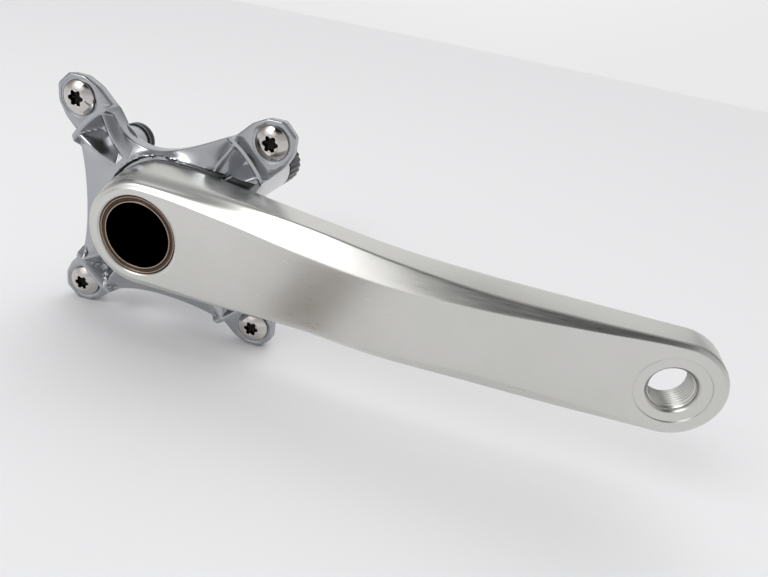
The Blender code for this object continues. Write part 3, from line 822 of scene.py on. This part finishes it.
def make_materials():
    return {
        "arm": metal("arm_satin_anodised", (0.655, 0.650, 0.625), 0.30, (0.05, 1.0, 1.0), 1500.0, 0.03,
                     tint=(0.63, 0.627, 0.60), spread=0.03),
        # Spider: the forged aluminium's own cooler tone, with its base colour darkened as a painted dark reflection
        # of the room it faces.
        "spider": metal("spider_forged_painted_dark_reflection", (0.40, 0.412, 0.432), 0.20, (1.0, 1.0, 1.0), 1200.0, 0.02,
                        tint=(0.44, 0.45, 0.47), spread=0.03),
        "steel": spindle_material(),
        "chrome": metal("bolt_bright_plate", (0.60, 0.57, 0.55), 0.11, (1.0, 1.0, 1.0), 700.0, 0.015, spread=0.03),
        "black": metal("bolt_black_oxide", (0.03, 0.03, 0.034), 0.30, (1.0, 1.0, 1.0), 900.0, 0.05),
        "washer": metal("washer_dark_steel", (0.16, 0.16, 0.17), 0.26, (1.0, 1.0, 1.0), 900.0, 0.04),
        "socket": metal("socket_shadow_black", (0.022, 0.021, 0.02), 0.40, (1.0, 1.0, 1.0), 900.0, 0.05),
    }


# ---------------------------------------------------------------- stage, light and camera

# In metres.
FLOOR_RADIUS, FLOOR_GAP = 4.0, 0.0002
FLAG_HEIGHT = 0.004


def make_stage():
    low = CAD_BOX[0][2]
    work = bmesh.new()
    bmesh.ops.create_circle(work, cap_ends=True, segments=96, radius=FLOOR_RADIUS)
    mesh = bpy.data.meshes.new("floor")
    work.to_mesh(mesh)
    work.free()
    floor = bpy.data.objects.new("floor", mesh)
    floor.location = (0.06, 0.0, low - FLOOR_GAP)
    bpy.context.scene.collection.objects.link(floor)
    material = bpy.data.materials.new("floor_pale")
    material.use_nodes = True
    shader = material.node_tree.nodes["Principled BSDF"]
    shader.inputs["Base Color"].default_value = (0.86, 0.86, 0.87, 1.0)
    shader.inputs["Roughness"].default_value = 0.9
    mesh.materials.append(material)


def area_light(name, location, target, size, power):
    data = bpy.data.lights.new(name, "AREA")
    data.shape = "RECTANGLE"
    data.size, data.size_y = size
    data.energy = power
    light = bpy.data.objects.new(name, data)
    light.location = location
    light.rotation_euler = (Vector(target) - Vector(location)).to_track_quat("-Z", "Y").to_euler()
    bpy.context.scene.collection.objects.link(light)


def sun_light(name, tilt, spread, strength):
    """Wide soft light on the floor, left out of reflections."""
    data = bpy.data.lights.new(name, "SUN")
    data.angle = math.radians(spread)
    data.energy = strength
    light = bpy.data.objects.new(name, data)
    light.rotation_euler = tuple(math.radians(turn) for turn in tilt)
    light.visible_glossy = False
    bpy.context.scene.collection.objects.link(light)


def make_flag(name, corners, colour):
    """Studio card that only reflections see, for the soft dark band on the arm's face."""
    mesh = bpy.data.meshes.new(name)
    mesh.from_pydata(corners, [], [(0, 1, 2, 3)])
    flag = bpy.data.objects.new(name, mesh)
    bpy.context.scene.collection.objects.link(flag)
    material = bpy.data.materials.new(name)
    material.use_nodes = True
    nodes, links = material.node_tree.nodes, material.node_tree.links
    glow = nodes.new("ShaderNodeEmission")
    glow.inputs["Color"].default_value = (*colour, 1.0)
    links.new(glow.outputs["Emission"], nodes["Material Output"].inputs["Surface"])
    mesh.materials.append(material)
    for setting in ("visible_camera", "visible_diffuse", "visible_shadow", "visible_transmission"):
        setattr(flag, setting, False)


def make_world():
    """Pale room, brightest at the front left and dark overhead, as the metal reflects it."""
    world = bpy.data.worlds.new("studio")
    bpy.context.scene.world = world
    world.use_nodes = True
    nodes, links = world.node_tree.nodes, world.node_tree.links
    background = nodes["Background"]
    coords = nodes.new("ShaderNodeTexCoord")
    split = nodes.new("ShaderNodeSeparateXYZ")
    ramp = nodes.new("ShaderNodeValToRGB")
    links.new(coords.outputs["Generated"], split.inputs["Vector"])
    links.new(split.outputs["Z"], ramp.inputs["Fac"])
    stops = ((0.0, 0.82), (0.10, 0.82), (0.30, 0.62), (0.60, 0.52), (1.0, 0.36))
    elements = ramp.color_ramp.elements
    while len(elements) < len(stops):
        elements.new(0.5)
    for element, (position, level) in zip(elements, stops):
        element.position = position
        element.color = (level, level, level * 1.01, 1.0)
    colour = ramp.outputs["Color"]
    for toward, inner, outer, level in WORLD_PATCHES:
        dot = nodes.new("ShaderNodeVectorMath")
        dot.operation = "DOT_PRODUCT"
        dot.inputs[1].default_value = Vector(toward).normalized()
        links.new(coords.outputs["Generated"], dot.inputs[0])
        edge = nodes.new("ShaderNodeMapRange")
        edge.interpolation_type = "SMOOTHSTEP"
        edge.inputs["From Min"].default_value = math.cos(math.radians(outer))
        edge.inputs["From Max"].default_value = math.cos(math.radians(inner))
        links.new(dot.outputs["Value"], edge.inputs["Value"])
        mix = nodes.new("ShaderNodeMix")
        mix.data_type = "RGBA"
        links.new(edge.outputs["Result"], mix.inputs["Factor"])
        links.new(colour, mix.inputs[6])
        mix.inputs[7].default_value = (level, level, level, 1.0)
        colour = mix.outputs[2]
    links.new(colour, background.inputs["Color"])
    background.inputs["Strength"].default_value = 1.0


def make_camera():
    data = bpy.data.cameras.new("camera")
    data.sensor_width = 36.0
    data.lens = 27.7
    data.clip_start, data.clip_end = 0.01, 20.0
    camera = bpy.data.objects.new("camera", data)
    camera.location = (0.1086, -0.2513, 0.0855)
    heading, dip, roll = 6.83, 24.93, 11.71
    camera.rotation_mode = "QUATERNION"
    aim = Euler((math.radians(90.0 - dip), 0.0, math.radians(heading)), "XYZ").to_quaternion()
    camera.rotation_quaternion = aim @ Euler((0.0, 0.0, math.radians(roll)), "XYZ").to_quaternion()
    bpy.context.scene.collection.objects.link(camera)
    bpy.context.scene.camera = camera


def main():
    materials = make_materials()
    for piece, node, material, slot in (
            (make_crank_arm(), "crank_arm", "arm", "satin_aluminium"),
            (make_spider(), "spider", "spider", "forged_aluminium"),
            (make_spindle(), "spindle", "steel", "spindle_steel")):
        piece.data.materials.clear()
        piece.data.materials.append(materials[material])
        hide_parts(node)
        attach(piece, "crank")
    make_fasteners(materials)
    make_stage()
    make_world()
    area_light("key", (-0.45, -0.70, 0.85), (0.06, -0.06, 0.0), (0.5, 0.5), 2.2)
    sun_light("ceiling", (-18.0, 12.0, 0.0), 70.0, 1.15)
    height = CAD_BOX[0][2] + FLAG_HEIGHT
    corners = tuple((x, y, height) for x, y in ((0.024, -0.12), (0.054, -0.12), (0.030, -0.34), (-0.014, -0.34)))
    make_flag("front_flag", corners, (0.28, 0.24, 0.21))
    make_camera()
    bpy.context.scene.view_settings.view_transform = "Standard"


main()
